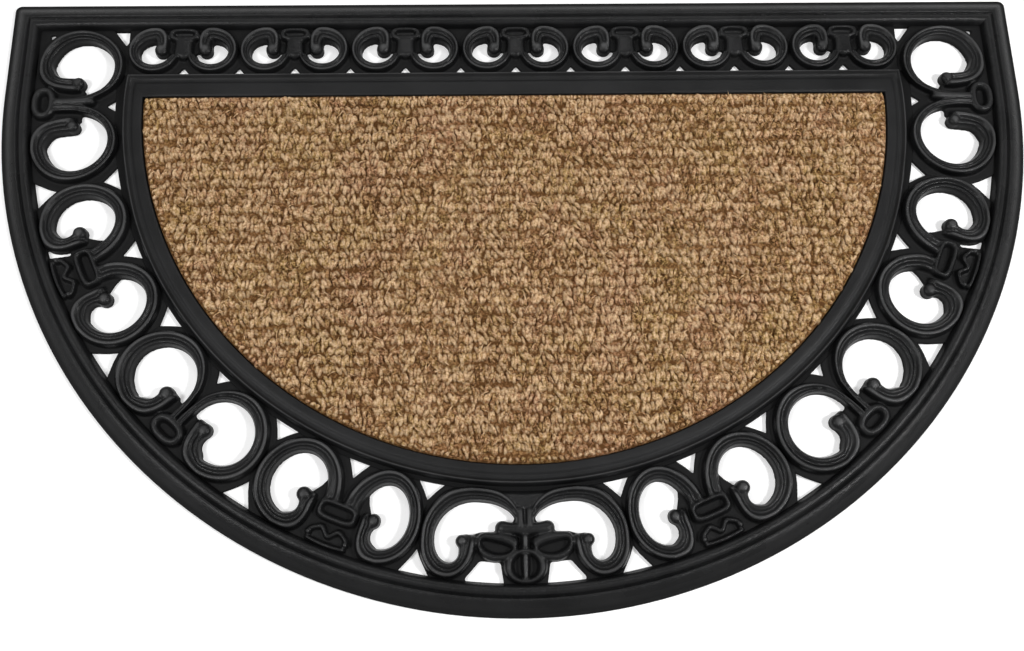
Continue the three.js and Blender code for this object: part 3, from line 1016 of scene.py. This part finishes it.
def webFrom(outlines):
    return plateFrom(outlines, borderSet["webBottom"], borderSet["webTop"], borderSet["webEdge"])


def scrollParts(kind):
    return bothOf(loft(bandSections(scrollStations(kind)))) + bothOf(ballTip(scrollKinds[kind]["tip"]))


def drawKind(kind, slits=()):
    # One whole pair laid flat in u and v: its web, bands, balls and ornament run together.
    web = webFrom(webOutlines(kind) + [denser(rows) for rows in slits])
    return meshFrom(fuse(joined([web] + scrollParts(kind) + ornaments[kind]())), kind + "Flat")


def moveAll(bm, place):
    for vert in bm.verts:
        vert.co.x, vert.co.y = place(vert.co.x, vert.co.y)


def makePair(name, node, kind, place):
    bm = bmesh.new()
    bm.from_mesh(flatKinds[kind])
    moveAll(bm, place)
    bmesh.ops.recalc_face_normals(bm, faces=bm.faces)
    settleRubber(bm, name, node)


flatKinds = {
    "oval": drawKind("oval"),
    "leaf": drawKind("leaf"),
    "slitLeaf": drawKind("leaf", [slitRows]),
    "palmette": drawKind("palmette", [dropGapRows, [(-u, v) for u, v in dropGapRows]]),
    "small": drawKind("small"),
}
print("scroll shapes drawn")

makePair("palmettePair", "palmette_pair", "palmette", onCurve(0))
for number, kind in ((1, "leaf"), (2, "oval"), (3, "slitLeaf")):
    for side, word in ((-1, "Left"), (1, "Right")):
        place = onCurve(number * pitch, side)
        if number == 1:
            place = narrowed(place)
        makePair(f"scrollPair{number}{word}", f"scroll_pair_{number}_{word.lower()}", kind, place)
for number in range(borderSet["smallPairs"]):
    shift = (number - (borderSet["smallPairs"] - 1) / 2) * borderSet["smallPitch"]
    makePair(f"smallPair{number + 1}", f"small_pair_{number + 1}", "small", onStraight(shift))


cornerSet = {
    # a corner pair's turn, a little beyond its place in the row
    "turn": 4 * pitch + math.radians(0.3),
    # how far the upper scroll leans to the coir, from where, and over what length
    "lean": (2.0, 4, 8),
    "collarShift": 2.0,
    "notch": (10.0, 13.0, 18.0),
    # the web's edge beside the first small pair: x, height and size of its cut corner, x at the rim
    "end": 291.0,
    "gapLow": 41.0,
    "cut": (3, 6),
    "gapTop": 304.5,
    "tiny": [(351.8, 50.6), (346.6, 50.6), (351, 46.2)],
    "rimSteps": 40,
}


def leanUpper(u, v):
    # The upper scroll of a corner pair stands a little nearer the coir.
    most, start, length = cornerSet["lean"]
    return u, v - most * min(1.0, max(0.0, (u - start) / length))


def cornerWeb(place):
    # The web of a corner: the turned half pair, then the square corner beyond the curve.
    spec = cornerSet
    overlap = borderSet["overlap"]
    low, high = limits("corner")
    straightLow, straightHigh = limits("small")
    half = borderSet["half"] + overlap + midRadius * (spec["turn"] - 4 * pitch)
    level = midRadius * (math.pi / 2 - spec["turn"])
    width, rise, drop = spec["notch"]
    start = [(-u, v) for u, v in reversed(halfNotches(half, low, high, (width + overlap, rise, drop)))]
    width, rise = scrollKinds["corner"]["foot"]
    coirSide = denser(start + [(-width, low), (0, low + rise), (width, low), (level, low)])
    coirSide = coirSide[:coirSide.index((level, low)) + 1]
    steps = spec["rimSteps"]
    rimSide = [(level + (start[0][0] - level) * k / steps, high) for k in range(steps)]
    end, gapLow = spec["end"], spec["gapLow"]
    aside, down = spec["cut"]
    square = [(low, straightLow), (end, straightLow), (end, gapLow + down), (end + aside, gapLow),
              (spec["gapTop"], straightHigh), (high, straightHigh)]
    return [place(u, v) for u, v in coirSide] + square + [place(u, v) for u, v in rimSide]


def drawCorner():
    place = onCurve(cornerSet["turn"])
    bm = joined(scrollParts("corner"))
    moveAll(bm, leanUpper)
    ornament = joined(cornerOrnament())
    bmesh.ops.translate(ornament, verts=ornament.verts, vec=(cornerSet["collarShift"], 0, 0))
    absorb(bm, ornament)
    moveAll(bm, place)
    hole = holeOutline("corner")
    upper = [place(*leanUpper(u, v)) for u, v in hole]
    lower = [place(-u, v) for u, v in hole]
    absorb(bm, webFrom([cornerWeb(place), upper, lower, cornerSet["tiny"]]))
    bmesh.ops.recalc_face_normals(bm, faces=bm.faces)
    return fuse(bm)


rightCorner = drawCorner()
for bm, word in ((mirrored(rightCorner), "left"), (rightCorner, "right")):
    settleRubber(bm, "cornerPair" + word.title(), "corner_pair_" + word)
print("scroll border made")


# woven coir panel

panelSet = {
    "radius": 276.6,
    "centreY": frameSet["innerY"],
    "corner": 6.0,
    "bottom": 2.8,
    "baseTop": 6.4,
    "baseEdge": 1.2,
    # from the straight edge to the first row, from row to row, and from nub to nub
    "firstRow": 6.0,
    "rowPitch": 7.05,
    "nubPitch": 7.4,
    # no nub stands nearer to the edge than this
    "nubRoom": 3.8,
    # the lean of the nubs in degrees, and how far it and the rows wander over the panel
    "slant": 6.0,
    "slantWave": 22,
    "rowWave": 2.0,
    "lowest": 3.6,
    "fibreSpan": 4,
    "vertsEach": 62000,
}

# A full row of nubs, and the lower one between two full rows.
nubRows = (
    {"strands": 3, "spread": 2.2, "width": 1.75, "length": 4.7, "rise": 2.3, "level": 7.5, "dip": 2.2,
     "wisps": 1.0},
    {"strands": 3, "spread": 2.2, "width": 1.7, "length": 4.6, "rise": 1.9, "level": 7.1, "dip": 2.2,
     "wisps": 0.6},
)
# The stray wisps over the nubs, and the cut ends along the edge of the panel.
wispSet = {"width": 0.34, "rise": 0.32, "dip": 0.8, "tones": (0.3, 0.9, 1.1)}
edgeSet = {"inset": 2.9, "steps": 200, "width": 1.5, "length": 2.5, "rise": 2.2, "level": 6.6, "dip": 1.0}

# How far lengths of yarn differ from each other: in millimetres, in degrees for lean, in radians for the turns,
# and as shares of a size for the last ones.
spread = {
    "along": (-0.9, 0.9), "across": (-1.1, 1.1), "lean": (-12, 12), "tone": (-0.28, 0.28),
    "aside": (-0.6, 0.6), "ahead": (-1.5, 1.5), "level": (-0.45, 0.45), "turn": (-0.5, 0.5),
    "shade": (-0.34, 0.34), "bow": (-0.8, 0.8), "fray": (-0.24, 0.24), "fibreStart": (0, 50),
    "wispAside": (-2.5, 2.5), "wispAhead": (-3, 3), "wispSunk": (0.0, 0.5), "wispLength": (2.4, 4.6),
    "wispTurn": (-1.3, 1.3), "edgeAside": (-0.5, 0.5), "edgeLevel": (-0.5, 0.6), "edgeTurn": (-1.5, 1.5),
    "width": (0.78, 1.22), "length": (0.8, 1.15), "rise": (0.85, 1.15), "wispWidth": (0.8, 1.3),
    "edgeWidth": (0.8, 1.15), "edgeLength": (0.8, 1.1),
}


def vary(draw, what):
    return draw.uniform(*spread[what])


def makeBase():
    # The base has no yarn tone and lies low, so it takes the deep tones: painted shade in the pits between the
    # nubs.
    outline = halfDiscOutline(panelSet["radius"], panelSet["centreY"], corner=panelSet["corner"])
    bm = plateFrom([outline], panelSet["bottom"], panelSet["baseTop"], panelSet["baseEdge"])
    uv = bm.loops.layers.uv.new("UVMap")
    for face in bm.faces:
        for loop in face.loops:
            loop[uv].uv = loop.vert.co.xy / panelSet["fibreSpan"]
    return settle(bm, "coirBase", coirYarn)


def newYarns():
    bm = bmesh.new()
    bm.loops.layers.uv.new("UVMap")
    bm.verts.layers.float.new("yarnToneAndShade")
    return bm


def makeYarnShape(sides):
    # A plain rounded length of yarn, one unit in each half axis, that every strand starts from.
    bm = newYarns()
    lying = Matrix.Rotation(math.radians(-90), 4, "X")
    bmesh.ops.create_uvsphere(bm, u_segments=sides, v_segments=6, radius=1.0, matrix=lying)
    return meshFrom(bm, "yarnShape")


def addYarn(bm, shape, draw, place, size, turn, dip, tone):
    # One length of yarn at a place, arched over its length, with its own tone, painted shade on its flanks and
    # its own run of fibres.
    x, y, z = place
    width, length, rise = size
    span = panelSet["fibreSpan"]
    spin = Matrix.Rotation(turn, 3, "Z")
    shift = vary(draw, "fibreStart")
    had = len(bm.verts)
    bm.from_mesh(shape)
    bm.verts.ensure_lookup_table()
    uv = bm.loops.layers.uv["UVMap"]
    tones = bm.verts.layers.float["yarnToneAndShade"]
    bow = vary(draw, "bow")
    for vert in bm.verts[had:]:
        a, t, c = vert.co
        low = max(z + c * rise - dip * t * t, panelSet["lowest"])
        frayed = Vector([vary(draw, "fray") for _ in range(3)])
        vert.co = spin @ Vector((a * width + bow * t * t, t * length, 0)) + Vector((x, y, low)) + frayed
        # painted shade: the yarn's tone falls to under half on its flanks and underside, and is full only on its
        # top
        vert[tones] = tone * (0.45 + 0.55 * max(c, 0))
        for loop in vert.link_loops:
            loop[uv].uv = (a * width / span + shift + (low - 7) / 5, t * length / span + shift * 0.7)


def toneAt(x, y, draw):
    return 0.78 + 0.35 * noise.noise((x * 0.05, y * 0.05, 9.0)) + vary(draw, "tone")


def addNub(bm, shapes, draw, place, lean, kind, tone, room):
    # A nub of coir: a few strands side by side, arched up out of the base, some with a stray wisp over them.
    x, y = place
    for i in range(kind["strands"]):
        aside = (i - (kind["strands"] - 1) / 2) * kind["spread"] + vary(draw, "aside")
        at = (x + aside * math.cos(lean), y + aside * math.sin(lean) + vary(draw, "ahead"),
              kind["level"] - 0.3 * abs(aside) + vary(draw, "level"))
        length = min(kind["length"] * vary(draw, "length"), max(1.8, room - 1.2))
        size = (kind["width"] * vary(draw, "width"), length, kind["rise"] * vary(draw, "rise"))
        shade = min(1.0, max(0.05, tone + vary(draw, "shade")))
        addYarn(bm, shapes[0], draw, at, size, lean + vary(draw, "turn"), kind["dip"], shade)
    if draw.random() < kind["wisps"] and room > 6:
        at = (x + vary(draw, "wispAside"), y + vary(draw, "wispAhead"),
              kind["level"] + kind["rise"] - vary(draw, "wispSunk"))
        size = (wispSet["width"] * vary(draw, "wispWidth"), vary(draw, "wispLength"), wispSet["rise"])
        turn = vary(draw, "wispTurn")
        addYarn(bm, shapes[1], draw, at, size, turn, wispSet["dip"], draw.choice(wispSet["tones"]))


def makeYarnRow(rowY, number, draw, shapes):
    # One woven row of nubs, set half a pitch aside of its neighbours.
    bm = newYarns()
    radius, centreY = panelSet["radius"], panelSet["centreY"]
    half = math.sqrt(max(radius ** 2 - (rowY - centreY) ** 2, 0))
    count = max(1, round(2 * half / panelSet["nubPitch"]))
    for i in range(count + 1):
        x = -half + (i + 0.5 * (number % 2)) * 2 * half / count + vary(draw, "along")
        wave = panelSet["rowWave"] * noise.noise((x * 0.03, number * 1.55, 0))
        y = rowY + wave + vary(draw, "across")
        room = min(radius - math.hypot(x, y - centreY), centreY - y)
        if room < panelSet["nubRoom"]:
            continue
        wave = panelSet["slantWave"] * noise.noise((x * 0.035, rowY * 0.03, 5.0))
        lean = math.radians(panelSet["slant"] + wave + vary(draw, "lean"))
        addNub(bm, shapes, draw, (x, y), lean, nubRows[number % 2], toneAt(x, rowY, draw), room)
    return bm


def makeYarnEdge(draw, shape):
    # Cut yarn ends packed along the edge of the panel.
    spec = edgeSet
    bm = newYarns()
    centreY = panelSet["centreY"]
    outline = halfDiscOutline(panelSet["radius"] - spec["inset"], centreY, steps=spec["steps"])
    for x, y in denser(outline, spec["inset"]):
        x += vary(draw, "edgeAside")
        y = min(y + vary(draw, "edgeAside"), centreY - spec["inset"])
        size = (spec["width"] * vary(draw, "edgeWidth"), spec["length"] * vary(draw, "edgeLength"), spec["rise"])
        place = (x, y, spec["level"] + vary(draw, "edgeLevel"))
        addYarn(bm, shape, draw, place, size, vary(draw, "edgeTurn"), spec["dip"], toneAt(x, y, draw))
    return bm


def makeYarns():
    # The edge, then row by row to the far end of the curve, shared out over pieces of a like size.
    draw = random.Random(11)
    shapes = makeYarnShape(6), makeYarnShape(3)
    parts = [makeYarnEdge(draw, shapes[0])]
    count = math.floor((panelSet["radius"] - 2 - panelSet["firstRow"]) / panelSet["rowPitch"]) + 1
    for number in range(count):
        rowY = panelSet["centreY"] - panelSet["firstRow"] - number * panelSet["rowPitch"]
        parts.append(makeYarnRow(rowY, number, draw, shapes))
    pieces = []
    for part in parts:
        if not pieces or len(pieces[-1].verts) > panelSet["vertsEach"]:
            pieces.append(newYarns())
        absorb(pieces[-1], part)
    return [settle(part, f"coirYarns{i + 1}", coirYarn, 80) for i, part in enumerate(pieces)]


coirBase = makeBase()
coirYarns = makeYarns()
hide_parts("coir_panel")
print("coir panel made")


# floor and light

stageSet = {
    "floorColour": (0.80, 0.80, 0.80, 1),
    "floorHalf": 6.0,
    "floorDrop": 0.0004,
    # how much the floor glows for the camera, and the world's level where the camera doesn't see it
    "lift": 0.34,
    "worldLevel": 0.24,
    "lamps": [
        # place, size, power; each lamp is aimed at the mat's middle
        ((-0.85, -0.35, 1.25), 0.36, 10.6),
        ((0.95, -0.25, 1.10), 0.22, 14.0),
        ((0.0, 1.05, 1.25), 0.36, 3.5),
    ],
}


def cameraMask(tree):
    # One for what the camera sees, directly or in a reflection, and nought for diffuse light.
    path = addNode(tree, "ShaderNodeLightPath").outputs
    total = addMath(tree, "ADD", path["Is Camera Ray"], path["Is Transmission Ray"])
    total = addMath(tree, "ADD", total, path["Is Glossy Ray"])
    return addMath(tree, "MINIMUM", total, 1.0)


def makeFloor():
    bm = bmesh.new()
    bmesh.ops.create_grid(bm, x_segments=1, y_segments=1, size=stageSet["floorHalf"])
    bmesh.ops.translate(bm, verts=bm.verts, vec=(0, 0, -stageSet["floorDrop"]))
    floor = addObject("floor", meshFrom(bm, "floor"))
    material, tree, shader = startMaterial("paleFloor")
    fill(tree, shader, {
        "Base Color": stageSet["floorColour"],
        "Roughness": 0.9,
        "Specular IOR Level": 0.0,
        "Emission Color": (1, 1, 1, 1),
        "Emission Strength": addMath(tree, "MULTIPLY", cameraMask(tree), stageSet["lift"]),
    })
    floor.data.materials.append(material)


def makeWorld():
    world = bpy.data.worlds.new("studio")
    bpy.context.scene.world = world
    world.use_nodes = True
    tree = world.node_tree
    tree.nodes.clear()
    dim = stageSet["worldLevel"]
    level = addMath(tree, "MULTIPLY_ADD", cameraMask(tree), 1 - dim, dim)
    background = addNode(tree, "ShaderNodeBackground", {"Strength": level})
    addNode(tree, "ShaderNodeOutputWorld", {"Surface": background.outputs[0]})


def makeLamps():
    for number, (place, size, power) in enumerate(stageSet["lamps"]):
        name = f"softbox{number + 1}"
        data = bpy.data.lights.new(name, "AREA")
        data.shape = "SQUARE"
        data.size = size
        data.energy = power
        lamp = addObject(name, data)
        lamp.location = place
        lamp.rotation_euler = (-Vector(place)).to_track_quat("-Z", "Y").to_euler()


makeFloor()
makeWorld()
makeLamps()
bpy.context.scene.view_settings.view_transform = "Standard"
print("floor and light placed")

bpy.context.view_layer.update()
